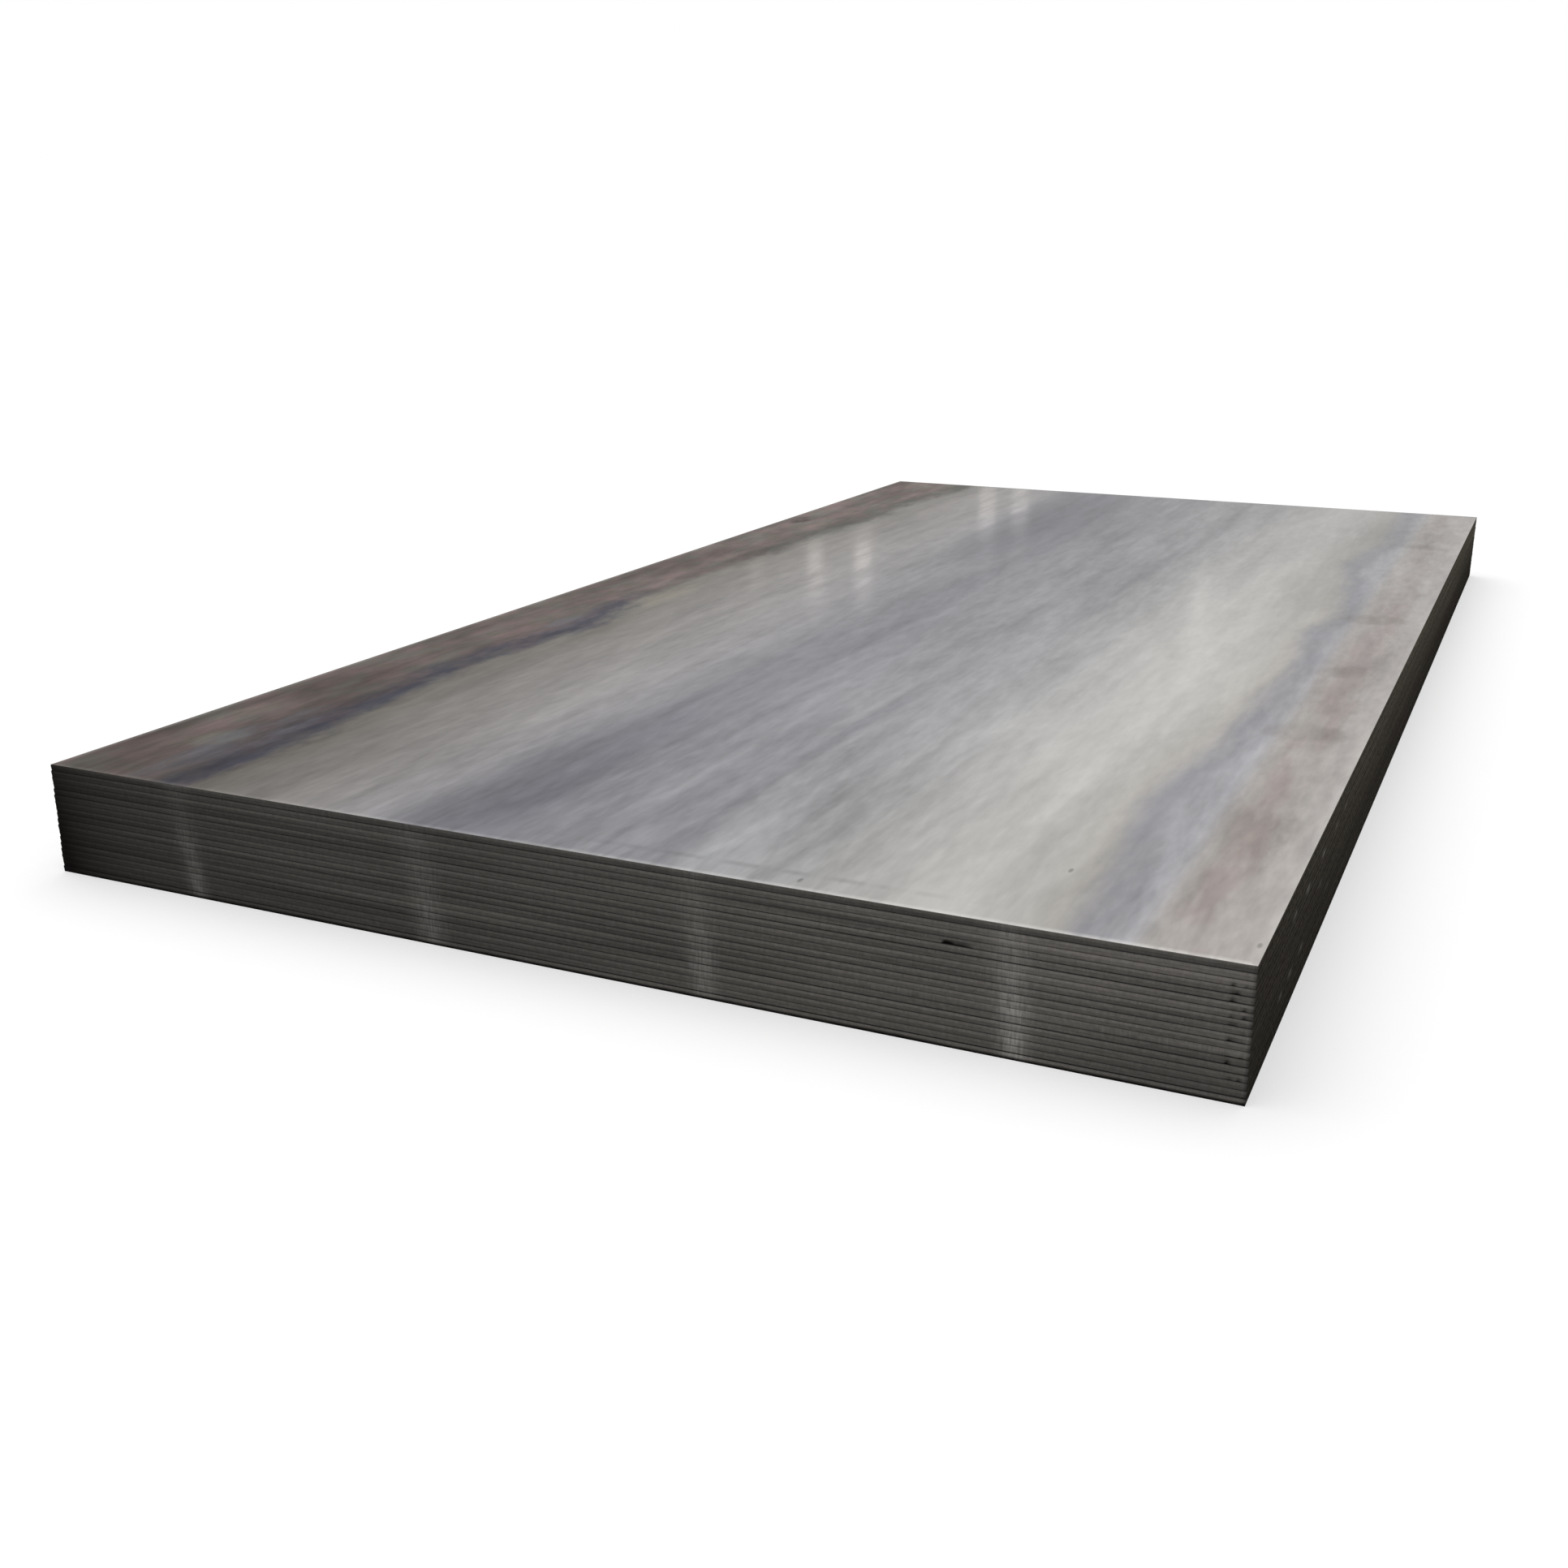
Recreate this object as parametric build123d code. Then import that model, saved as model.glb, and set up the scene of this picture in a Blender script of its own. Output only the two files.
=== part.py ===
"""Stack of hot-rolled steel plates, sheared to one size and laid flush on each other.

Millimetres. The origin is the centre of the lowest plate's underside, +X runs across the
plates, +Y along them in the rolling direction, and +Z up through the stack.
"""

import os
from math import radians, sin

from build123d import *

# Plate: a stock size of hot-rolled plate, twice as long as it is wide
plate_width = 1500.0
plate_length = 3000.0
plate_thickness = 8.0

# Stack
plate_count = 18
stagger_across = 0.15  # furthest that a plate lies off the centre line, to either side
stagger_along = 0.3  # furthest that a plate lies forward or back of the middle
lay_step_across = 137.5  # degrees from one plate to the next, which spreads the stagger unevenly
lay_step_along = 85.0

# Sheared edge, from the top face down: the blade draws the rim over, rubs a straight land,
# and the rest tears away under that land, so the underside is smaller all round
rollover_radius = 0.4
burnish_depth = 3.0
tear_inset = 0.35


def sheared_plate():
    """One plate lying on its torn side, with its underside centred on the origin."""
    plate = extrude(Rectangle(plate_width, plate_length), plate_thickness)
    top_rim = plate.faces().sort_by(Axis.Z)[-1].edges()
    plate = fillet(top_rim, rollover_radius)
    underside = plate.faces().sort_by(Axis.Z)[0]
    tear_height = plate_thickness - rollover_radius - burnish_depth
    return chamfer(underside.edges(), tear_inset, tear_height, reference=underside)


def lay(level):
    """Where a plate's underside lies in the stack. The lowest plate is on the origin."""
    across = stagger_across * sin(radians(lay_step_across * level))
    along = stagger_along * sin(radians(lay_step_along * level))
    return Pos(across, along, plate_thickness * level)


def main():
    os.makedirs("parts", exist_ok=True)
    plate = sheared_plate()
    for level in range(plate_count):
        export_step(lay(level) * plate, f"parts/plate_{level + 1:02d}.step")


main()
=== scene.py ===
"""Looks of a stack of hot-rolled steel plates. Metres, in the part's own frame.

Every plate is rebuilt in place of its plain solid: the rim that the shear drew over, the burnished
land below it, the torn face that runs in under the land, and the nicks that handling left. The two
faces of a plate wear mill scale. Its ends are bare sheared steel, and its long edges are dull.
"""

from collections import namedtuple

import bpy
import numpy as np
from mathutils import Matrix, Vector


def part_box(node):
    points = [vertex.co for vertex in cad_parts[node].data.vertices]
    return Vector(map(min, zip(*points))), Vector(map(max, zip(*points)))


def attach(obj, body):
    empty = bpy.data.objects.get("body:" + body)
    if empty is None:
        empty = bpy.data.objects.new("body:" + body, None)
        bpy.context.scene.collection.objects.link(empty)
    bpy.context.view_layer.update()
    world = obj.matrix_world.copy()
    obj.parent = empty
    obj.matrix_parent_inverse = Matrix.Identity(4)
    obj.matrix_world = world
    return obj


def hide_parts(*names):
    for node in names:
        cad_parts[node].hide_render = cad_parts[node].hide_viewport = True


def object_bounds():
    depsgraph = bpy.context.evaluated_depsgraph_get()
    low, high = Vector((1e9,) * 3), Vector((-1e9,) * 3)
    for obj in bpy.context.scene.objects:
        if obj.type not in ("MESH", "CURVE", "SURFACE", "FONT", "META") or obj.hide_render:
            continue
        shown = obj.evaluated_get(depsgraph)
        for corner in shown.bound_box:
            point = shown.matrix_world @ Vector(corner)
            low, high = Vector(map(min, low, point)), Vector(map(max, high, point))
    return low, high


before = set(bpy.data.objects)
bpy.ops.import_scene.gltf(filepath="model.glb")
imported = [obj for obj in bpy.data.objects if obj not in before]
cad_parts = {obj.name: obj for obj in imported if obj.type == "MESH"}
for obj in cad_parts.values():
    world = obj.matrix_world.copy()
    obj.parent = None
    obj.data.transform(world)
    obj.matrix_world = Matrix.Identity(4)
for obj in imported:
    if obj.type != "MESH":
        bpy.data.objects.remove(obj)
cad_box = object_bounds()
plates = sorted(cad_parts)
stack_height = cad_box[1][2]
first_seed = 100  # of the random draws for the lowest plate

# Sheared edge, from the top face down
rollover_radius = 0.0004
rim_width = 0.010  # worn strip of the top face beside the rim, where its painted highlight fades in
rim_depth = 0.001  # where the rim's painted highlight ends, below the top face
burnish_depth = 0.003
burnish_wander = 0.0007  # how far the border of the land moves up and down
burnish_wander_steps = (0.05, 0.012)  # a long wander and a short one
burnish_wander_shares = (0.6, 0.4)
tear_step = 0.00006  # the torn face starts this far in from the land
tear_inset = 0.00035
tear_roughness = 0.0001
tear_grain = 0.006
tear_scatter_share = 0.6
tear_fall_shares = (0.06, 0.35, 0.65, 0.86, 1.0)  # rows of the torn face, from the land down
edge_bow = 0.0002  # how far an edge leaves its straight line, inwards
edge_bow_step = 0.4
smooth_angle = 0.9  # radians; edges that turn more than this are creases

# Fineness of the meshes: cells on a face, and edge points to a cell
cells_across = 25
cells_along = 40
points_per_end_cell = 15
points_per_side_cell = 9
border_width = 0.03  # from the edge points to the first cell
face_wave = 0.00025  # how far a face dips below its plane
face_wave_lengths = (2.6, 1.7, 1.1, 0.8)

# Pale bands on the near end, which are painted reflections of lamps laid in as rubbed marks, in shares
# of its width from the left. They lean left and widen upwards
band_shares = (0.152, 0.384, 0.619, 0.849)
band_lean_shares = (0.018, 0.017, 0.010, 0.008)
band_half_widths = (0.0120, 0.0168, 0.0132, 0.0126)
band_widening_share = 0.5
band_strength_shares = (0.48, 0.31, 0.34, 0.40)
band_draw_shares = (0.7, 1.2)  # of its strength, the least and the most that a plate shows
band_top_shares = (0.25, 0.30, 0.30, 0.45)  # of its strength, what is left of a mark at the top
band_fade_shares = (0.15, 0.75)  # heights between which a mark fades
gash_plate = "plate_15"
gash_share = 0.799
gash_length = 0.013
gash_depth = 0.0025
gash_tail_length = 0.028  # a shallower scrape that runs on to the right
gash_tail_depth = 0.0008
deep_land_plate = "plate_07"
deep_land_share = 0.7  # its land takes up nearly the whole edge from here on
deep_land_rise_share = 0.05
deep_land_depth_share = 0.75
corner_nick_plates = plates[3:16]
corner_nick_shares = (0.9875, 0.9945)
corner_nick_length = 0.007
corner_nick_shift = 0.00175  # to either side
corner_nick_depth = 0.0012
corner_nick_depth_shares = (-0.4, 1.0)  # a draw below 0 leaves no nick
notch_land_share = 0.1  # of its depth, what a notch has at the border of the land
notch_tear_share = 0.3  # and just below it, before it deepens to the underside

# Pale specks on the right side: shares of its length, of the stack's height and of full strength
speck_shares = (
    (0.059, 0.28, 0.56), (0.079, 0.29, 0.72), (0.103, 0.30, 0.72), (0.144, 0.53, 0.40),
    (0.168, 0.34, 0.28), (0.079, 0.75, 0.64), (0.109, 0.74, 0.80), (0.147, 0.76, 0.72),
    (0.183, 0.76, 0.36), (0.210, 0.77, 0.28),
)
speck_length = 0.012
speck_height = 0.0033

# Painted shade, in shares of black, and how far it reaches, in shares of an edge's length
right_end_shade_share = 0.14  # at the right corner of the near end
left_shade_share = 0.54  # added evenly towards the left corner
corner_shade_share = 0.25  # added close to the left corner
corner_reach_share = 0.05
foot_shade_share = 0.15  # added at the foot of the left corner
foot_reach_share = 0.06
lifted_shade_share = 0.12  # taken off beside the right-hand mark
lifted_shade_place_share = 0.872
lifted_shade_reach_share = 0.05
top_plate_dark_share = 0.5  # the least that the near end of the top plate has
far_end_dark_share = 0.3
side_shade_share = 0.68
side_middle_share = 0.07  # taken off half-way along a side
side_lift_reach_share = 0.5  # a side's painted shade lifts towards the far end
side_lift_height_shares = (0.3, 0.8)  # and does so between these heights

# Painted shade in the gaps between the plates, in shares of black, row by row from the top
rim_gap_shares = (1.0, 1.0, 0.9, 0.6, 0.0, 0.0)
tear_gap_shares = (0.0, 0.0, 0.0, 0.2, 1.0)
foot_gap_shares = (0.0, 0.6, 1.0, 1.0, 1.0)  # the torn face of the lowest plate, with a painted shadow at its foot
gap_depth_shares = (0.75, 0.95)  # the least and the most that a plate has
gap_wander_share = 0.15
gap_wander_step = 0.3
gap_left_share = 0.55  # of its depth, what a gap has at the left corner of the near end
side_gap_share = 0.5

# Painted highlight on the worn rims, in shares
near_rim_shares = (0.1, 1.0)  # near end, from its left corner to its right one
other_rim_shares = (0.35, 0.2, 0.2)  # right side, far end and left side
covered_rim_share = 0.1  # of its painted highlight, what a rim has below another plate

# Parts of the map that a plate's colours are baked on, in shares of the map
upper_chart_shares = ((0.01, 0.12), (0.74, 0.99))
under_chart_shares = ((0.76, 0.12), (0.99, 0.99))
strip_share = 0.022
strip_step_share = 0.028
strip_end_shares = (0.01, 0.99)

# Borders of the mill scale: shares of the length from the near end, and of the width from the left
brown_border_shares = (
    (0.0, 0.142), (0.06, 0.138), (0.125, 0.126), (0.20, 0.115), (0.27, 0.113), (0.33, 0.126),
    (0.40, 0.104), (0.475, 0.100), (0.55, 0.104), (0.60, 0.110), (0.67, 0.104), (0.71, 0.110),
    (0.775, 0.122), (0.85, 0.112), (0.925, 0.130), (1.0, 0.140),
)
lavender_border_shares = (
    (0.0, 0.882), (0.08, 0.877), (0.125, 0.865), (0.18, 0.868), (0.23, 0.880), (0.28, 0.888),
    (0.35, 0.889), (0.38, 0.897), (0.45, 0.891), (0.50, 0.886), (0.55, 0.905), (0.60, 0.897),
    (0.67, 0.883), (0.72, 0.870), (0.77, 0.877), (0.82, 0.895), (0.90, 0.894), (1.0, 0.887),
)
border_wobble_share = 0.05

# Spots of the mill scale: centre and half size in shares of the width and of the length, and strength
pale_grey_shares = ((0.57, 0.05), (0.06, 0.20), 0.25)
near_violet_shares = ((0.39, 0.03), (0.06, 0.22), 0.45)
far_violet_shares = ((0.38, 0.88), (0.10, 0.32), 0.75)
bright_band_shares = ((0.82, 0.46), (0.16, 0.25), 0.10)
lighter_brown_shares = (((0.080, 0.50), (0.070, 0.11), 0.28), ((0.050, 0.08), (0.040, 0.06), 0.28))
pale_brown_shares = ((0.073, 0.062), (0.022, 0.020), 1.0)
dark_brown_shares = ((0.027, 0.75), (0.020, 0.025), 1.0)
straw_shares = ((0.122, 0.43), (0.030, 0.055), 0.4)
bloom_shares = (((0.092, 0.065), (0.036, 0.080), 1.0), ((0.097, 0.335), (0.024, 0.045), 1.0))
greyed_shares = ((0.884, 0.87), (0.034, 0.14), 0.60)
smudge_shares = (
    ((0.946, 0.125), (0.034, 0.045), 0.6),
    ((0.948, 0.278), (0.046, 0.018), 1.1),
    ((0.946, 0.405), (0.026, 0.018), 0.9),
    ((0.942, 0.546), (0.046, 0.018), 1.1),
    ((0.946, 0.825), (0.046, 0.016), 1.1),
)
dark_speck_shares = (
    ((0.850, 0.058), (0.0022, 0.0030), 0.5),
    ((0.685, 0.0085), (0.0022, 0.0030), 0.5),
    ((0.995, 0.017), (0.0022, 0.0030), 0.5),
)
near_dark_line_share = 0.0145
near_dark_line_half_share = 0.0035

# Camera, from the photograph's seven visible corners
eye = Vector((0.958, -3.004, 0.777))
looks_at = Vector((0.124, -1.180, 0.144))
camera_roll = 0.0034  # radians
lens_mm = 39.44
sensor_mm = 36.0

# Light
sun_from = Vector((-0.25, 0.15, 1.0))
sun_strength = 1.4
sun_angle = 1.3  # radians across
ambient_strength = 0.55
far_lamp_places = (
    (-3.25, 5.80, 1.26), (-2.88, 5.80, 1.24), (-2.59, 5.80, 1.22),
    (-1.88, 5.80, 0.86), (-1.70, 5.80, 0.84), (-0.72, 5.80, 1.26),
)
far_lamp_strength_shares = (0.3, 0.75, 1.0, 0.7, 0.6, 0.45)
far_lamp_size = (0.08, 0.16)
far_lamp_watts = 0.08
far_lamp_tint = (1.0, 0.95, 0.91)
floor_size = 60.0
floor_albedo = 0.6
floor_glow = 0.46


def linear(red, green, blue):
    """An sRGB colour in 0 to 255 as the linear colour that a shader takes."""
    share = np.array((red, green, blue)) / 255
    low = share / 12.92
    high = ((share + 0.055) / 1.055) ** 2.4
    return (*np.where(share <= 0.04045, low, high).tolist(), 1.0)


class Nodes:
    """A material under construction: a call adds the nodes for one step and returns their output."""

    def __init__(self, name):
        self.material = bpy.data.materials.new(name)
        self.material.use_nodes = True
        self.tree = self.material.node_tree
        self.shader = self.tree.nodes["Principled BSDF"]
        self.place = self.add("ShaderNodeTexCoord").outputs["Object"]

    def put(self, socket, value):
        if isinstance(value, bpy.types.NodeSocket):
            self.tree.links.new(value, socket)
        else:
            socket.default_value = value

    def add(self, kind, **settings):
        node = self.tree.nodes.new(kind)
        for name, value in settings.items():
            setattr(node, name, value)
        return node

    def axes(self, vector):
        node = self.add("ShaderNodeSeparateXYZ")
        self.put(node.inputs[0], vector)
        return node.outputs

    def mask(self, name):
        return self.add("ShaderNodeAttribute", attribute_name=name).outputs["Fac"]

    def maths(self, operation, a, b=0.0):
        node = self.add("ShaderNodeMath", operation=operation)
        self.put(node.inputs[0], a)
        self.put(node.inputs[1], b)
        return node.outputs[0]

    def total(self, *weighted):
        """The sum of (weight, value) pairs."""
        result = 0.0
        for weight, value in weighted:
            result = self.maths("ADD", result, self.maths("MULTIPLY", value, weight))
        return result

    def product(self, first, *others):
        for other in others:
            first = self.maths("MULTIPLY", first, other)
        return first

    def span(self, value, low, high, to_low=0.0, to_high=1.0):
        """value carried from low..high to to_low..to_high, smoothly, and held there outside."""
        node = self.add("ShaderNodeMapRange", interpolation_type="SMOOTHSTEP")
        for socket, number in zip(node.inputs, (value, low, high, to_low, to_high)):
            self.put(socket, number)
        return node.outputs[0]

    def patch(self, x, y, centre, half):
        """1 at a place, falling smoothly to 0 at half its size away."""
        steps = [self.maths("DIVIDE", self.maths("SUBTRACT", value, middle), reach)
                 for value, middle, reach in zip((x, y), centre, half)]
        squares = [self.maths("MULTIPLY", step, step) for step in steps]
        return self.span(self.maths("ADD", *squares), 1.0, 0.0)

    def noise(self, waves, detail=3.0, roughness=0.5, distortion=0.0):
        """Noise from 0 to 1, with so many waves to the metre along each axis."""
        scaled = self.add("ShaderNodeVectorMath", operation="MULTIPLY")
        self.put(scaled.inputs[0], self.place)
        self.put(scaled.inputs[1], waves)
        node = self.add("ShaderNodeTexNoise")
        self.put(node.inputs["Vector"], scaled.outputs[0])
        self.put(node.inputs["Scale"], 1.0)
        self.put(node.inputs["Detail"], detail)
        self.put(node.inputs["Roughness"], roughness)
        self.put(node.inputs["Distortion"], distortion)
        return node.outputs["Fac"]

    def curve(self, value, points):
        """value through a smooth curve of given points, both ways in 0 to 1."""
        node = self.add("ShaderNodeFloatCurve")
        line = node.mapping.curves[0]
        line.points[0].location = points[0]
        line.points[1].location = points[-1]
        for point in points[1:-1]:
            line.points.new(*point)
        node.mapping.update()
        self.put(node.inputs["Value"], value)
        return node.outputs[0]

    def ramp(self, value, stops):
        """A colour for value, from stops of (position, colour)."""
        node = self.add("ShaderNodeValToRGB")
        elements = node.color_ramp.elements
        elements[0].position, elements[0].color = stops[0]
        elements[1].position, elements[1].color = stops[-1]
        for position, colour in stops[1:-1]:
            elements.new(position).color = colour
        self.put(node.inputs[0], value)
        return node.outputs["Color"]

    def mix(self, share, a, b):
        node = self.add("ShaderNodeMix", data_type="RGBA")
        self.put(node.inputs["Factor"], share)
        self.put(node.inputs["A"], a)
        self.put(node.inputs["B"], b)
        return node.outputs["Result"]

    def brighten(self, colour, factor):
        node = self.add("ShaderNodeHueSaturation")
        self.put(node.inputs["Color"], colour)
        self.put(node.inputs["Value"], factor)
        return node.outputs[0]

    def bump(self, height, distance, strength):
        node = self.add("ShaderNodeBump")
        self.put(node.inputs["Strength"], strength)
        self.put(node.inputs["Distance"], distance)
        self.put(node.inputs["Height"], height)
        return node.outputs[0]

    def steel(self, colour, metallic, roughness, normal):
        """The material with its shader set. Its reflection at a grazing angle is half as bright."""
        self.put(self.shader.inputs["Base Color"], colour)
        self.put(self.shader.inputs["Metallic"], metallic)
        self.put(self.shader.inputs["Specular Tint"], (0.5, 0.5, 0.5, 1.0))
        self.put(self.shader.inputs["Specular IOR Level"], 0.0)
        self.put(self.shader.inputs["Roughness"], roughness)
        self.put(self.shader.inputs["Normal"], normal)
        return self.material


class ScaleNodes(Nodes):
    """Mill scale under construction, with a place on the face in shares of its width and length."""

    def __init__(self, name):
        super().__init__(name)
        low, high = (np.array(corner) for corner in cad_box)
        width, length = (high - low)[:2].tolist()
        x, y, _ = self.axes(self.place)
        self.across = self.maths("ADD", self.maths("DIVIDE", x, width), 0.5)
        self.along = self.maths("ADD", self.maths("DIVIDE", y, length), 0.5)
        ragged = self.noise((26.0, 10.0, 170.0), detail=6.0, roughness=0.6)
        self.wobble = self.product(self.maths("SUBTRACT", ragged, 0.5), border_wobble_share)

    def spot(self, spot_shares, across=None, along=None):
        """A soft spot on the face. It is ragged where it gets wobbling shares to lie on."""
        centre, half, strength = spot_shares
        across = self.across if across is None else across
        along = self.along if along is None else along
        return self.product(self.patch(across, along, centre, half), strength)


def middle_scale(n):
    """Grey scale that the rolls drew out into long soft clouds."""
    clouds = n.noise((8.0, 1.3, 60.0), detail=3.0, distortion=0.4)
    pushed = n.total((1.0, n.across), (0.07, n.maths("SUBTRACT", clouds, 0.5)))
    colour = n.ramp(pushed, (
        (0.10, linear(152, 146, 141)),
        (0.16, linear(157, 151, 147)),
        (0.21, linear(165, 161, 158)),
        (0.28, linear(175, 172, 171)),
        (0.33, linear(169, 167, 169)),
        (0.39, linear(156, 155, 160)),
        (0.46, linear(160, 160, 165)),
        (0.57, linear(172, 172, 175)),
        (0.66, linear(181, 181, 182)),
        (0.75, linear(206, 204, 201)),
        (0.80, linear(212, 210, 206)),
        (0.84, linear(201, 199, 194)),
        (0.88, linear(195, 192, 186)),
    ))
    colour = n.mix(n.spot(pale_grey_shares), colour, linear(200, 200, 203))
    colour = n.mix(n.spot(near_violet_shares), colour, linear(108, 106, 116))
    colour = n.mix(n.spot(far_violet_shares), colour, linear(112, 111, 122))
    veins = n.noise((15.0, 0.9, 80.0), detail=2.0, distortion=0.3)
    veined = n.product(n.span(n.across, 0.30, 0.38), n.span(n.across, 0.74, 0.62))
    veins = n.product(n.span(veins, 0.46, 0.70, 0.0, 0.34), veined)
    colour = n.mix(veins, colour, linear(122, 121, 131))
    near_left = n.product(n.span(n.along, 0.65, 0.0), n.span(n.across, 0.38, 0.10))
    return n.mix(n.product(near_left, 0.60), colour, linear(98, 94, 91))


def brown_scale(n, colour):
    """Brown oxide along the left edge, with an indigo border near by and a greenish one further off.

    Gives the colour, and where the oxide lies.
    """
    reddish = n.noise((34.0, 13.0, 130.0), detail=4.0, roughness=0.6)
    greenish = n.noise((26.0, 10.0, 190.0), detail=4.0, roughness=0.6)
    mottles = n.noise((15.0, 4.0, 150.0), detail=2.0)
    brown = n.mix(n.span(reddish, 0.35, 0.65), linear(101, 94, 89), linear(113, 99, 97))
    brown = n.mix(n.span(greenish, 0.46, 0.64, 0.0, 0.65), brown, linear(103, 102, 96))
    brown = n.brighten(brown, n.span(mottles, 0.3, 0.7, 0.74, 1.08))
    brown = n.brighten(brown, n.span(n.along, 0.3, 1.0, 1.0, 1.5))
    for spot_shares in lighter_brown_shares:
        brown = n.brighten(brown, n.maths("ADD", n.spot(spot_shares), 1.0))
    pale_spot = n.product(n.spot(pale_brown_shares), n.span(reddish, 0.60, 0.40, 0.2, 0.7))
    brown = n.mix(pale_spot, brown, linear(132, 133, 120))
    dark_spot = n.product(n.spot(dark_brown_shares), n.span(greenish, 0.60, 0.40, 0.2, 0.8))
    brown = n.mix(dark_spot, brown, linear(76, 68, 66))

    # The border, measured towards the middle of the plate
    beyond = n.maths("SUBTRACT", n.across, n.curve(n.along, brown_border_shares))
    beyond = n.maths("ADD", beyond, n.wobble)
    fringe = n.span(beyond, 0.075, 0.0, 0.0, 0.55)
    colour = n.mix(fringe, colour, linear(118, 115, 103))
    colour = n.mix(n.spot(straw_shares), colour, linear(166, 157, 138))
    oxide = n.span(beyond, 0.024, -0.016)
    colour = n.mix(oxide, colour, brown)
    band = n.product(n.span(beyond, 0.022, -0.004), n.span(beyond, -0.046, -0.004))
    band = n.product(band, n.span(reddish, 0.65, 0.40, 0.6, 1.0))
    indigo = n.product(band, n.span(n.along, 0.46, 0.38, 0.15, 0.90))
    colour = n.mix(indigo, colour, linear(71, 72, 84))
    loose = n.maths("ADD", n.across, n.wobble)
    for spot_shares in bloom_shares:
        bloom = n.product(n.spot(spot_shares, loose), n.span(greenish, 0.35, 0.60, 0.15, 0.65))
        colour = n.mix(bloom, colour, linear(110, 108, 116))
    olive = n.product(band, n.span(n.along, 0.58, 0.68, 0.0, 0.6))
    return n.mix(olive, colour, linear(100, 104, 98)), oxide


def pale_strip(n, colour):
    """Lavender border on the right, straw colour before it and a blotched pale strip outside it."""
    border = n.curve(n.along, lavender_border_shares)
    outside = n.maths("SUBTRACT", n.maths("SUBTRACT", n.across, border), n.product(n.wobble, 0.6))
    blotches = n.noise((24.0, 6.0, 170.0), detail=3.0, roughness=0.55)
    straw = n.span(outside, -0.045, -0.006, 0.0, 0.30)
    colour = n.mix(straw, colour, linear(190, 185, 175))
    colour = n.mix(n.spot(greyed_shares), colour, linear(160, 160, 155))
    lavender = n.product(n.span(outside, -0.022, 0.010), n.span(blotches, 0.65, 0.40, 0.8, 1.0))
    colour = n.mix(lavender, colour, linear(163, 162, 168))
    colour = n.mix(n.span(outside, 0.008, 0.036), colour, linear(181, 180, 184))
    colour = n.mix(n.span(n.across, 0.912, 0.936), colour, linear(188, 184, 179))
    loose = n.maths("ADD", n.across, n.product(n.wobble, 0.9))
    rosy = n.product(n.span(loose, 0.920, 0.950), n.span(loose, 0.986, 0.960))
    rosy = n.product(rosy, n.span(blotches, 0.34, 0.62, 0.30, 0.85))
    colour = n.mix(rosy, colour, linear(170, 158, 155))
    colour = n.mix(n.span(loose, 0.970, 0.990), colour, linear(192, 186, 182))

    # Smudges across the strip, and its paler far half
    loose_along = n.maths("ADD", n.along, n.product(n.wobble, 0.4))
    for spot_shares in smudge_shares:
        smudge = n.spot(spot_shares, loose, loose_along)
        smudge = n.product(smudge, n.span(blotches, 0.35, 0.60, 0.20, 0.42))
        colour = n.mix(smudge, colour, linear(128, 121, 115))
    paler = n.product(n.span(outside, 0.010, 0.040), n.span(n.along, 0.40, 0.70, 0.0, 0.16))
    return n.brighten(colour, n.maths("ADD", paler, 1.0))


def mill_scale():
    """Rolled face of a plate, with its grain, specks, and a worn rim with a painted highlight."""
    n = ScaleNodes("mill_scale")
    colour = middle_scale(n)
    colour, oxide = brown_scale(n, colour)
    colour = pale_strip(n, colour)

    # A faint dark line along the near end, and a few dark specks
    streaks = n.noise((26.0, 1.8, 90.0), detail=2.0, distortion=0.3)
    drifts = n.noise((11.0, 2.2, 70.0), detail=2.0, distortion=0.5)
    flakes = n.noise((42.0, 8.0, 120.0), detail=2.0)
    grain = n.noise((105.0, 22.0, 100.0), detail=2.0)
    off_line = n.maths("ABSOLUTE", n.maths("SUBTRACT", n.along, near_dark_line_share))
    near_dark_line = n.span(off_line, near_dark_line_half_share, 0.0)
    near_dark_line = n.product(near_dark_line, n.span(n.across, 0.40, 0.60), n.span(n.across, 0.86, 0.70))
    near_dark_line = n.product(near_dark_line, n.span(flakes, 0.40, 0.60, 0.04, 0.22))
    colour = n.mix(near_dark_line, colour, linear(90, 88, 88))
    for spot_shares in dark_speck_shares:
        colour = n.mix(n.spot(spot_shares), colour, linear(92, 92, 86))

    # Streaks, grain, a duller near end and a brighter pale band
    calm = n.span(n.across, 0.62, 0.78, 1.0, 0.55)
    calm = n.maths("ADD", calm, n.span(n.across, 0.86, 0.92, 0.0, 0.45))
    fine = n.total(
        (0.50, n.maths("SUBTRACT", streaks, 0.5)),
        (0.40, n.maths("SUBTRACT", flakes, 0.5)),
        (0.40, n.maths("SUBTRACT", grain, 0.5)),
    )
    tone = n.total((1.0, n.product(calm, fine)), (0.40, n.maths("SUBTRACT", drifts, 0.5)))
    dull = n.product(n.span(n.along, 0.28, 0.0, 0.0, 0.22), n.span(n.across, 0.92, 0.84, 0.6, 1.0))
    level = n.maths("SUBTRACT", n.span(n.along, 0.2, 1.0, 1.14, 0.97), dull)
    level = n.maths("ADD", level, n.spot(bright_band_shares))
    colour = n.brighten(colour, n.maths("ADD", tone, level))

    # Painted highlight along the worn rim of the top plate
    rim = n.product(n.mask("rim"), n.span(grain, 0.3, 0.6, 0.6, 1.0))
    colour = n.mix(rim, colour, linear(228, 226, 223))
    metallic = n.span(oxide, 0.0, 1.0, 0.75, 0.15)
    roughness = n.span(streaks, 0.2, 0.8, 0.16, 0.11)
    return n.steel(colour, metallic, roughness, n.bump(grain, 0.0002, 0.05))


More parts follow.
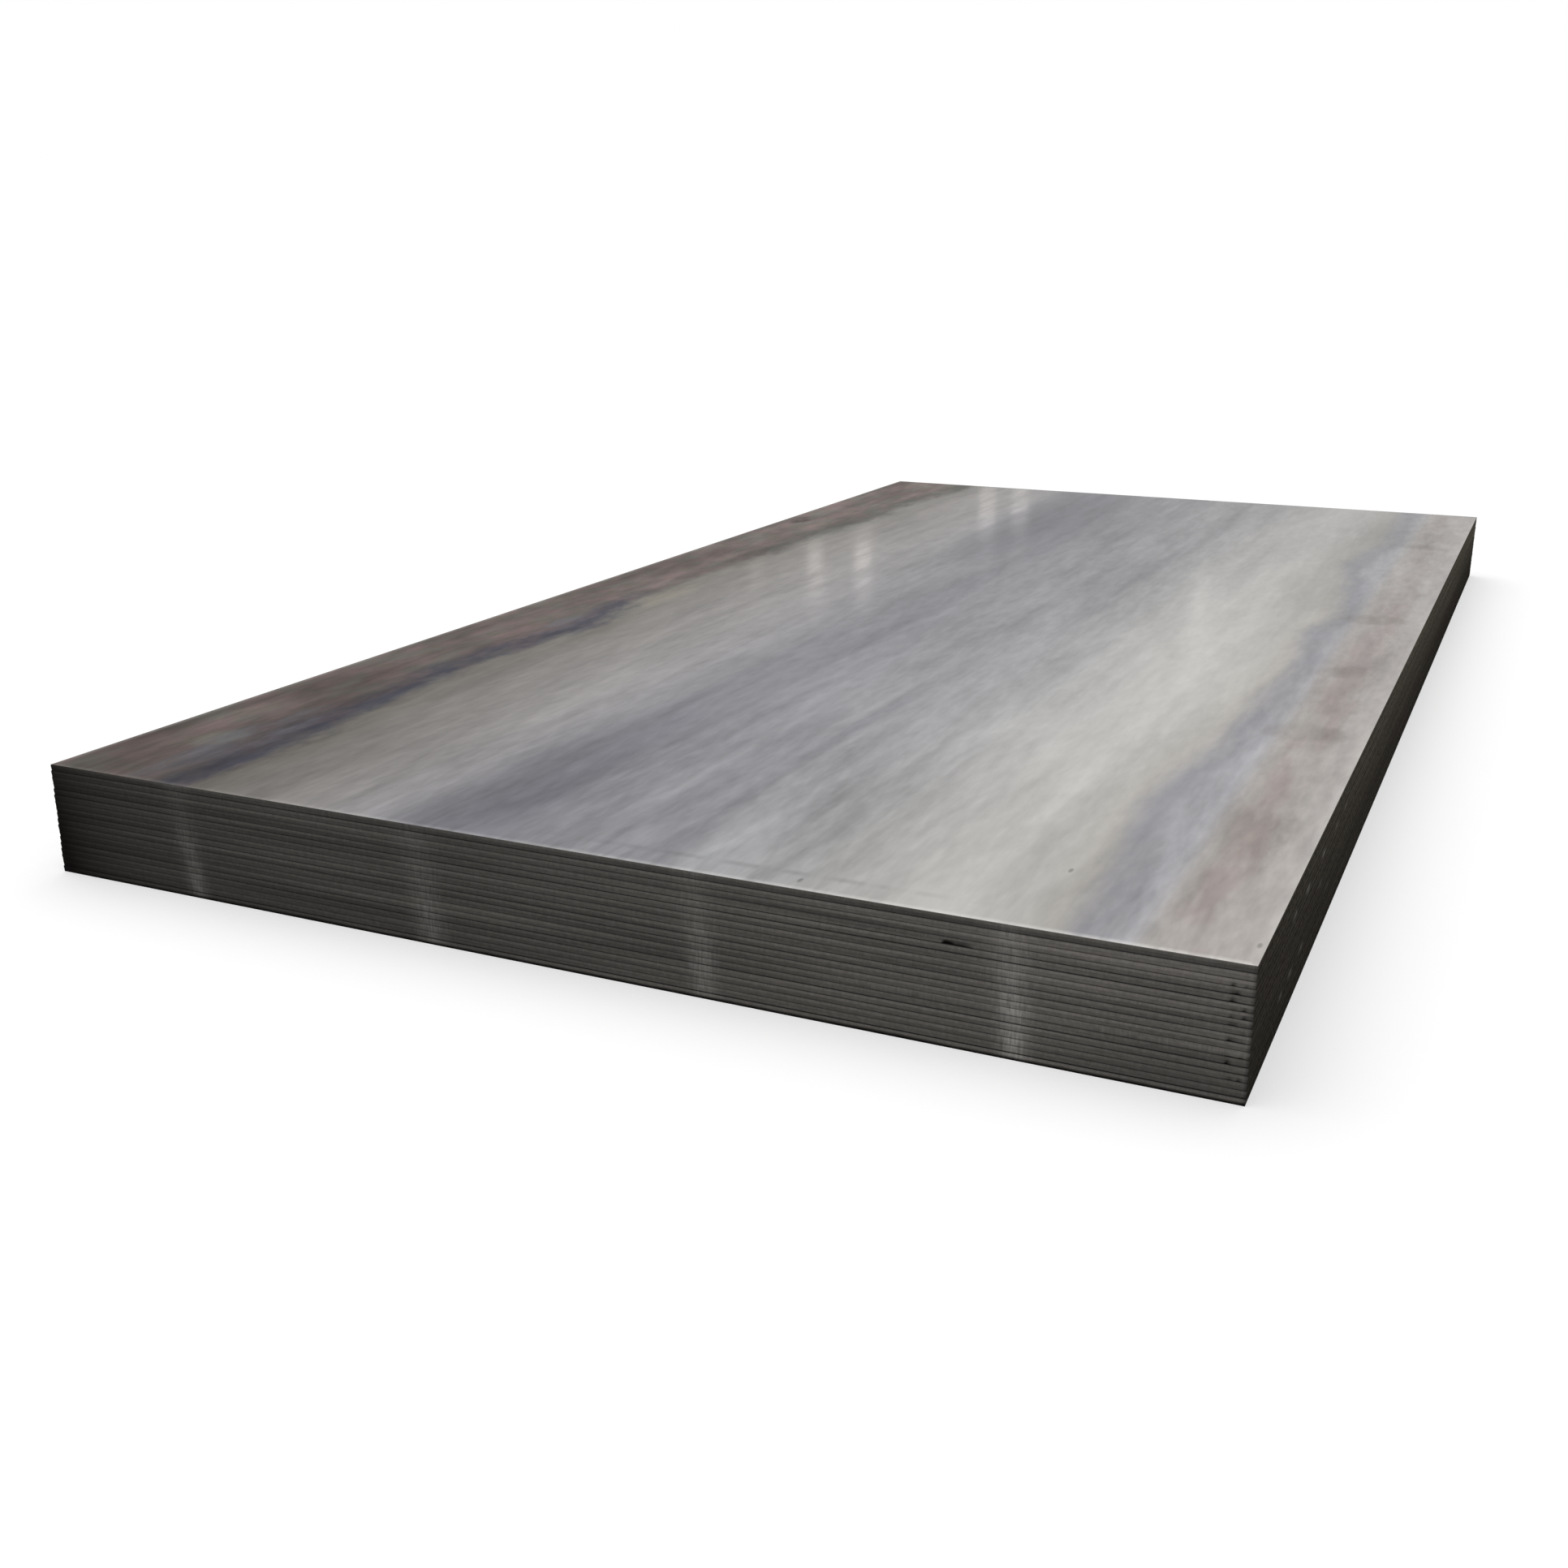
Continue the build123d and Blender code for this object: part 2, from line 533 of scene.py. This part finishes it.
def edge_steel(name, dark, light, streak, mottle, metallic):
    """Edge of a plate: scratched land over a torn face, with pale bands of painted lamp reflection
    laid in as rubs, a painted highlight on the worn rim, and painted shade across it and in the gaps.
    """
    n = Nodes(name)
    scratches = n.noise((450.0, 450.0, 40.0), detail=3.0, roughness=0.6)
    crystals = n.noise((600.0, 600.0, 600.0), detail=4.0, roughness=0.7)
    tones = n.noise((2.0, 2.0, 90.0), detail=3.0)
    stains = n.noise((160.0, 160.0, 160.0), detail=2.0)
    land = n.mix(scratches, dark, light)
    torn = n.brighten(n.mix(crystals, dark, light), 0.9)
    colour = n.mix(n.mask("land"), torn, land)
    colour = n.brighten(colour, n.span(tones, 0.25, 0.75, 1 - streak, 1 + streak))
    colour = n.brighten(colour, n.span(stains, 0.25, 0.75, 1 - mottle, 1 + mottle))
    # Painted reflections of lamps, laid in as pale rubbed bands
    reflected_bands = n.product(n.mask("reflection_bands_and_specks"), n.span(scratches, 0.3, 0.7, 0.4, 1.1))
    colour = n.mix(reflected_bands, colour, linear(205, 202, 197))
    # Painted highlight on the worn rim
    colour = n.mix(n.product(n.mask("rim"), 0.5), colour, linear(200, 197, 193))
    # Painted shade: towards near-black across the ends and sides, in the gaps between the plates and
    # in the notches
    colour = n.mix(n.mask("painted_shade"), colour, linear(24, 22, 21))
    roughness = n.span(n.mask("land"), 0.0, 1.0, 0.70, 0.50)
    return n.steel(colour, metallic, roughness, n.bump(crystals, 0.0002, 0.4))


def end_steel():
    """The guillotined ends, grey and fairly clean."""
    dark = linear(91, 88, 84)
    light = linear(121, 118, 114)
    return edge_steel("end_steel", dark, light, streak=0.3, mottle=0.1, metallic=0.6)


def side_steel():
    """The long edges, brown with scale, and dull. Painted shade makes them nearly black."""
    dark = linear(88, 84, 76)
    light = linear(105, 100, 90)
    return edge_steel("side_steel", dark, light, streak=0.15, mottle=0.4, metallic=0.0)


class Ring:
    """The points round a plate's edge: near end, right side, far end, left side, and back."""

    def __init__(self, low, high):
        self.low, self.high = low, high
        end_points = cells_across * points_per_end_cell
        side_points = cells_along * points_per_side_cell
        self.counts = (end_points, side_points, end_points, side_points)
        self.count = sum(self.counts)
        self.side = np.repeat(np.arange(4), self.counts)
        self.share = np.concatenate([np.arange(count) / count for count in self.counts])
        self.next_share = self.share + 1 / np.array(self.counts)[self.side]
        self.end_share = np.where(self.side == 0, self.share, -1.0)  # on the near end only
        self.side_share = np.where(self.side == 3, 1 - self.share, self.share)  # from the near end on
        width, length = (high - low)[:2]
        self.lengths = np.array((width, length, width, length))
        self.around = np.concatenate(([0.0], np.cumsum(self.lengths)))[self.side]
        self.around = self.around + self.share * self.lengths[self.side]
        self.perimeter = self.lengths.sum()

    def places(self, inset):
        """x and y of the points, moved inwards by inset, with the corners mitred."""
        inset = np.broadcast_to(inset, self.share.shape)
        run = inset + self.share * (self.lengths[self.side] - 2 * inset)
        x = np.choose(self.side, (self.low[0] + run, self.high[0] - inset,
                                  self.high[0] - run, self.low[0] + inset))
        y = np.choose(self.side, (self.low[1] + inset, self.low[1] + run,
                                  self.high[1] - inset, self.high[1] - run))
        return x, y

    def wander(self, rng, step):
        """Random values from -1 to 1 round the ring, one draw for each step, closed on itself."""
        knots = np.arange(0.0, self.perimeter, step)
        return np.interp(self.around, knots, rng.uniform(-1, 1, len(knots)), period=self.perimeter)


# A row of points round an edge: how far in and how far below the top face it lies, and in shares,
# how much it has of the land, of the rim's painted highlight, of a notch's depth and of a gap's
# painted shade
Row = namedtuple("Row", "inset depth land rim notch gap")


def draw_waves(rng):
    """Long shallow waves of a rolled face: length, direction and phase."""
    return [(wavelength, *rng.uniform(0, 2 * np.pi, 2)) for wavelength in face_wave_lengths]


def dip(waves, x, y):
    """How far a face lies below its plane, which it never rises above."""
    total = np.zeros_like(x)
    for wavelength, turn, phase in waves:
        total += np.sin(2 * np.pi * (x * np.cos(turn) + y * np.sin(turn)) / wavelength + phase)
    return face_wave * (0.5 + 0.5 * total / len(waves))


def hump(value, centre, length):
    """1 at centre, falling to 0 half a length away on either side."""
    return np.clip(1 - (2 * (value - centre) / length) ** 2, 0, 1)


def rise(value, low, high):
    """0 up to low, 1 from high on, and straight between them."""
    return np.clip((value - low) / (high - low), 0, 1)


def deep_land(node, ring):
    """Where the land of the plate with a deep land takes up nearly the whole edge, from 0 to 1."""
    if node != deep_land_plate:
        return np.zeros(ring.count)
    return rise(ring.end_share, deep_land_share, deep_land_share + deep_land_rise_share)


def land_border(rng, node, ring, thickness):
    """How far below the top face the land ends and the torn face starts."""
    border = np.full(ring.count, rollover_radius + burnish_depth)
    for step, wander_share in zip(burnish_wander_steps, burnish_wander_shares):
        border += burnish_wander * wander_share * ring.wander(rng, step)
    return border + deep_land(node, ring) * deep_land_depth_share * (thickness - border)


def notch_depths(rng, node, ring):
    """How deep the nicks and the gash cut into the near end."""
    width = ring.lengths[0]
    place = ring.end_share * width
    notch = np.zeros(ring.count)
    if node in corner_nick_plates:
        for nick_share in corner_nick_shares:
            depth = corner_nick_depth * rng.uniform(*corner_nick_depth_shares)
            nick_place = nick_share * width + rng.uniform(-corner_nick_shift, corner_nick_shift)
            notch += max(depth, 0.0) * hump(place, nick_place, corner_nick_length)
    if node == gash_plate:
        gash_place = gash_share * width
        tail_place = gash_place + gash_tail_length / 2
        notch += gash_depth * hump(place, gash_place, gash_length)
        notch += gash_tail_depth * hump(place, tail_place, gash_tail_length)
    return notch


def edge_rows(rng, ring, level, border, thickness):
    """The rows round a plate's edge, from the top face down to the underside."""
    on_top = level == len(plates) - 1
    gaps = np.zeros(len(rim_gap_shares)) if on_top else rim_gap_shares
    bend = rollover_radius * (1 - np.sqrt(0.5))
    rows = [
        Row(rim_width, 0.0, 1.0, 0.0, 0.0, gaps[0]),
        Row(rollover_radius, 0.0, 1.0, 0.8, 0.0, gaps[1]),
        Row(bend, bend, 1.0, 1.0, 0.0, gaps[2]),
        Row(0.0, rollover_radius, 1.0, 0.6, 0.0, gaps[3]),
        Row(0.0, rim_depth, 1.0, 0.0, 0.0, gaps[4]),
        Row(0.0, border, 1.0, 0.0, notch_land_share, gaps[5]),
    ]
    for fall, gap in zip(tear_fall_shares, foot_gap_shares if level == 0 else tear_gap_shares):
        torn = ring.wander(rng, tear_grain)
        torn += rng.uniform(-tear_scatter_share, tear_scatter_share, ring.count)
        inset = tear_step + (tear_inset - tear_step) * fall + tear_roughness * (0.5 + 0.5 * torn)
        notch = notch_tear_share + (1 - notch_tear_share) * fall
        rows.append(Row(inset, border + fall * (thickness - border), 0.0, 0.0, notch, gap))
    return rows


def gap_depths(rng, node, ring, level):
    """How black the painted shade in the gaps above and below a plate is."""
    depth = rng.uniform(*gap_depth_shares) + gap_wander_share * ring.wander(rng, gap_wander_step)
    near_depth = depth * (gap_left_share + (1 - gap_left_share) * ring.end_share)
    depth = np.choose(ring.side, (near_depth, side_gap_share, depth, side_gap_share))
    if level == 0:
        return np.ones(ring.count)
    return depth * (1 - deep_land(node, ring))


def reflection_bands_and_specks(rng, ring, heights):
    """How pale the edge is painted: the lamp reflections on the near end, laid in as rubbed marks, and
    the specks on the right side.
    """
    width, length = ring.lengths[:2]
    total = np.zeros_like(heights)
    for centre, lean, half_width, strength, top_share in zip(
            band_shares, band_lean_shares, band_half_widths, band_strength_shares, band_top_shares):
        off_centre = (ring.end_share - centre + lean * heights) * width
        reach = half_width * (1 + band_widening_share * heights)
        fade = 1 - (1 - top_share) * rise(heights, *band_fade_shares)
        total += strength * rng.uniform(*band_draw_shares) * np.exp(-(off_centre / reach) ** 2) * fade
    for speck_share, height_share, strength in speck_shares:
        off_along = (ring.side_share - speck_share) * length / speck_length
        off_height = (heights - height_share) * stack_height / speck_height
        total += strength * np.exp(-off_along ** 2 - off_height ** 2) * (ring.side == 1)
    return total


def end_shade(ring, heights):
    """Painted shade of the near end: black at the left corner, lighter and lighter to the right."""
    share = ring.end_share
    corner = corner_shade_share * np.exp(-share / corner_reach_share)
    foot = foot_shade_share * np.exp(-share / foot_reach_share) * (1 - heights)
    lifted_shade = lifted_shade_share * np.exp(-((share - lifted_shade_place_share) / lifted_shade_reach_share) ** 2)
    return right_end_shade_share + left_shade_share * (1 - share) + corner + foot - lifted_shade


def side_shade(ring, heights):
    """Painted shade of the long sides, whose upper half grows lighter towards the far end."""
    side_shade_lift = 1 - np.exp(-ring.side_share / side_lift_reach_share)
    side_shade_lift = side_shade_lift * rise(heights, *side_lift_height_shares)
    middle = side_middle_share * np.sin(np.pi * ring.side_share)
    return (side_shade_share - middle) * (1 - side_shade_lift)


def painted_shade(ring, heights, rows, gap_depth, notch, on_top):
    """How black the edge is painted: painted shade on the ends and sides, in the gaps and in the
    notches, all together.
    """
    near_end = end_shade(ring, heights)
    if on_top:
        near_end = np.maximum(near_end, top_plate_dark_share)
    sides = side_shade(ring, heights)
    shade = np.choose(ring.side, (near_end, sides, far_end_dark_share, sides))
    gaps = np.outer([row.gap for row in rows], gap_depth)
    notched = np.outer([row.notch for row in rows], np.clip(notch / corner_nick_depth, 0, 1))
    return np.clip(shade + (1 - shade) * gaps + notched, 0, 1)


def rim_wear_and_highlight(ring, on_top):
    """How bright the painted highlight on the worn rim is round the edge."""
    left, right = near_rim_shares
    near_end = left + (right - left) * np.clip(ring.end_share, 0, 1) ** 2
    shine = np.choose(ring.side, (near_end, *other_rim_shares))
    return shine if on_top else shine * covered_rim_share


def plate_geometry(node, level):
    """Vertices and masks of one plate: rows round its edge from the top down, then its two faces."""
    rng = np.random.default_rng(first_seed + level)
    low, high = (np.array(corner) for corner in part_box(node))
    ring = Ring(low, high)
    thickness = high[2] - low[2]
    on_top = level == len(plates) - 1
    bow = edge_bow * (0.5 + 0.5 * ring.wander(rng, edge_bow_step))
    border = land_border(rng, node, ring, thickness)
    notch = notch_depths(rng, node, ring)
    rows = edge_rows(rng, ring, level, border, thickness)
    gap_depth = gap_depths(rng, node, ring, level)
    waves = draw_waves(rng)

    points = []
    for row in rows:
        x, y = ring.places(row.inset + bow + notch * row.notch)
        top = high[2] - dip(waves, x, y)
        points.append(np.stack((x, y, top - row.depth * (top - low[2]) / thickness), axis=-1))
    heights = np.stack(points)[:, :, 2] / stack_height

    columns = np.linspace(low[0] + border_width, high[0] - border_width, cells_across + 1)
    lines = np.linspace(low[1] + border_width, high[1] - border_width, cells_along + 1)
    x, y = (grid.ravel() for grid in np.meshgrid(columns, lines))
    points.append(np.stack((x, y, high[2] - dip(waves, x, y)), axis=-1))
    points.append(np.stack((x, y, np.full(len(x), low[2])), axis=-1))

    edge_masks = {
        "land": np.outer([row.land for row in rows], np.ones(ring.count)),
        "rim": np.outer([row.rim for row in rows], rim_wear_and_highlight(ring, on_top)),
        "reflection_bands_and_specks": reflection_bands_and_specks(rng, ring, heights),
        "painted_shade": painted_shade(ring, heights, rows, gap_depth, notch, on_top),
    }
    on_faces = np.zeros(2 * len(x))
    masks = {name: np.concatenate((mask.ravel(), on_faces)) for name, mask in edge_masks.items()}
    return ring, len(rows), np.concatenate(points), masks


def face_cells(ring, ring_start, grid_start):
    """Corner lists of a face: its cells, and the many-cornered ones that join them to the edge."""
    row_length = cells_across + 1
    grid = grid_start + np.arange(row_length * (cells_along + 1)).reshape(-1, row_length)
    cells = np.stack((grid[:-1, :-1], grid[:-1, 1:], grid[1:, 1:], grid[1:, :-1]), axis=-1)
    found = cells.reshape(-1, 4).tolist()
    inner_sides = (grid[0, :], grid[:, -1], grid[-1, ::-1], grid[::-1, 0])
    first = 0
    for inner, count in zip(inner_sides, ring.counts):
        per_cell = count // (len(inner) - 1)
        for cell in range(len(inner) - 1):
            outer = (first + cell * per_cell + np.arange(per_cell + 1)) % ring.count + ring_start
            found.append(outer.tolist() + [int(inner[cell + 1]), int(inner[cell])])
        first += count
    return found


def plate_faces(ring, row_count):
    """Corner lists of the edge's quads, the upper face and the underside."""
    step = np.arange(ring.count)
    after = np.roll(step, -1)
    edge = []
    for row in range(row_count - 1):
        upper, lower = row * ring.count, (row + 1) * ring.count
        edge += np.stack((lower + step, lower + after, upper + after, upper + step), axis=-1).tolist()
    top_start = row_count * ring.count
    under_start = top_start + (cells_across + 1) * (cells_along + 1)
    upper_face = face_cells(ring, 0, top_start)
    underside = face_cells(ring, (row_count - 1) * ring.count, under_start)
    return edge, upper_face, [corners[::-1] for corners in underside]


def bake_places(ring, row_count, points, edge, upper_face, underside):
    """A place on the bake's map for each face corner: charts for the faces, a strip for each edge."""
    flat = (points[:, :2] - ring.low[:2]) / (ring.high - ring.low)[:2]

    def on_chart(faces, chart):
        start, end = (np.array(corner) for corner in chart)
        return start + flat[np.concatenate(faces)] * (end - start)

    first, last = strip_end_shares
    left = first + ring.share * (last - first)
    right = first + ring.next_share * (last - first)
    strip_foot = strip_step_share * (ring.side + 0.2)
    strips = []
    for row in range(1, row_count - 1):
        upper, lower = (strip_foot + strip_share * (row_count - 1 - edge_row) / (row_count - 2)
                        for edge_row in (row, row + 1))
        corners = ((left, lower), (right, lower), (right, upper), (left, upper))
        corners = [np.stack(corner, axis=-1) for corner in corners]
        strips.append(np.stack(corners, axis=1).reshape(-1, 2))
    rim_strip = on_chart(edge[:ring.count], upper_chart_shares)
    faces = on_chart(upper_face, upper_chart_shares), on_chart(underside, under_chart_shares)
    return np.concatenate((rim_strip, *strips, *faces))


def build_plate(node, level, materials):
    """One plate as a mesh of its own, standing for its solid."""
    ring, row_count, points, masks = plate_geometry(node, level)
    edge, upper_face, underside = plate_faces(ring, row_count)
    mesh = bpy.data.meshes.new(node + "_steel")
    mesh.from_pydata(points.tolist(), [], edge + upper_face + underside)
    for material in materials:
        mesh.materials.append(material)
    end_slot, side_slot, scale_slot = range(len(materials))
    slots = np.full(len(mesh.polygons), scale_slot, dtype=np.int32)
    slots[:len(edge)] = np.tile(np.where(ring.side % 2 == 0, end_slot, side_slot), row_count - 1)
    if level == len(plates) - 1:
        slots[:ring.count] = scale_slot  # the worn strip of the top face, with the rim's painted highlight, which lies open only here
    mesh.polygons.foreach_set("material_index", slots)
    mesh.polygons.foreach_set("use_smooth", np.ones(len(mesh.polygons), dtype=bool))
    for name, values in masks.items():
        layer = mesh.attributes.new(name, "FLOAT", "POINT")
        layer.data.foreach_set("value", values.astype(np.float32))
    places = bake_places(ring, row_count, points, edge, upper_face, underside)
    mesh.uv_layers.new(name="OFBake").data.foreach_set("uv", places.astype(np.float32).ravel())
    mesh.update()
    mesh.validate()
    mesh.set_sharp_from_angle(angle=smooth_angle)
    piece = bpy.data.objects.new(node + "_steel", mesh)
    bpy.context.scene.collection.objects.link(piece)
    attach(piece, "root")
    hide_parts(node)


def seen_directly(tree):
    """1 for what the camera, a reflection or glass shows, and 0 for light on its way to a surface."""
    path = tree.nodes.new("ShaderNodeLightPath")
    total = path.outputs["Is Camera Ray"]
    for name in ("Is Glossy Ray", "Is Transmission Ray"):
        highest = tree.nodes.new("ShaderNodeMath")
        highest.operation = "MAXIMUM"
        tree.links.new(total, highest.inputs[0])
        tree.links.new(path.outputs[name], highest.inputs[1])
        total = highest.outputs[0]
    return total


def build_world():
    """White all round for the eye, and a soft even light for the surfaces."""
    world = bpy.data.worlds.new("studio")
    bpy.context.scene.world = world
    world.use_nodes = True
    tree = world.node_tree
    background = tree.nodes["Background"]
    background.inputs["Color"].default_value = (1.0, 1.0, 1.0, 1.0)
    level = tree.nodes.new("ShaderNodeMapRange")
    tree.links.new(seen_directly(tree), level.inputs["Value"])
    level.inputs["To Min"].default_value = ambient_strength
    level.inputs["To Max"].default_value = 1.0
    tree.links.new(level.outputs[0], background.inputs["Strength"])


def build_floor():
    """A pale floor that goes white in the picture and keeps the stack's shadow."""
    half = floor_size / 2
    mesh = bpy.data.meshes.new("floor")
    corners = [(-half, -half, 0.0), (half, -half, 0.0), (half, half, 0.0), (-half, half, 0.0)]
    mesh.from_pydata(corners, [], [(0, 1, 2, 3)])
    floor = bpy.data.objects.new("floor", mesh)
    bpy.context.scene.collection.objects.link(floor)
    material = bpy.data.materials.new("floor")
    material.use_nodes = True
    tree = material.node_tree
    shader = tree.nodes["Principled BSDF"]
    shader.inputs["Base Color"].default_value = (floor_albedo, floor_albedo, floor_albedo, 1.0)
    shader.inputs["Roughness"].default_value = 1.0
    shader.inputs["Specular IOR Level"].default_value = 0.0
    shader.inputs["Emission Color"].default_value = (1.0, 1.0, 1.0, 1.0)
    glow = tree.nodes.new("ShaderNodeMath")
    glow.operation = "MULTIPLY"
    glow.inputs[1].default_value = floor_glow
    tree.links.new(seen_directly(tree), glow.inputs[0])
    tree.links.new(glow.outputs[0], shader.inputs["Emission Strength"])
    mesh.materials.append(material)


def build_key_lamp():
    """One wide soft lamp high over the stack.

    It isn't mirrored, because the white surroundings are, and both would be too bright.
    """
    lamp = bpy.data.lights.new("key", "SUN")
    lamp.energy = sun_strength
    lamp.angle = sun_angle
    key = bpy.data.objects.new("key", lamp)
    key.matrix_world = sun_from.to_track_quat("Z", "Y").to_matrix().to_4x4()
    key.visible_glossy = False
    bpy.context.scene.collection.objects.link(key)


def build_far_lamps():
    """Faint lamps far behind the stack that gleam in its top."""
    for number, (place, strength) in enumerate(zip(far_lamp_places, far_lamp_strength_shares)):
        lamp = bpy.data.lights.new(f"far_{number}", "AREA")
        lamp.shape = "RECTANGLE"
        lamp.size, lamp.size_y = far_lamp_size
        lamp.energy = far_lamp_watts * strength
        lamp.color = far_lamp_tint
        far = bpy.data.objects.new(f"far_{number}", lamp)
        turn = Vector(place).to_track_quat("Z", "Y").to_matrix().to_4x4()
        far.matrix_world = Matrix.Translation(place) @ turn
        far.visible_camera = False
        bpy.context.scene.collection.objects.link(far)


def build_camera():
    """The photograph's view."""
    lens = bpy.data.cameras.new("camera")
    lens.lens = lens_mm
    lens.sensor_width = sensor_mm
    camera = bpy.data.objects.new("camera", lens)
    turn = (looks_at - eye).to_track_quat("-Z", "Y").to_matrix().to_4x4()
    camera.matrix_world = Matrix.Translation(eye) @ turn @ Matrix.Rotation(camera_roll, 4, "Z")
    bpy.context.scene.collection.objects.link(camera)
    bpy.context.scene.camera = camera


def main():
    bpy.context.scene.view_settings.view_transform = "Standard"
    materials = (end_steel(), side_steel(), mill_scale())
    for level, node in enumerate(plates):
        build_plate(node, level, materials)
    build_world()
    build_floor()
    build_far_lamps()
    build_key_lamp()
    build_camera()


main()
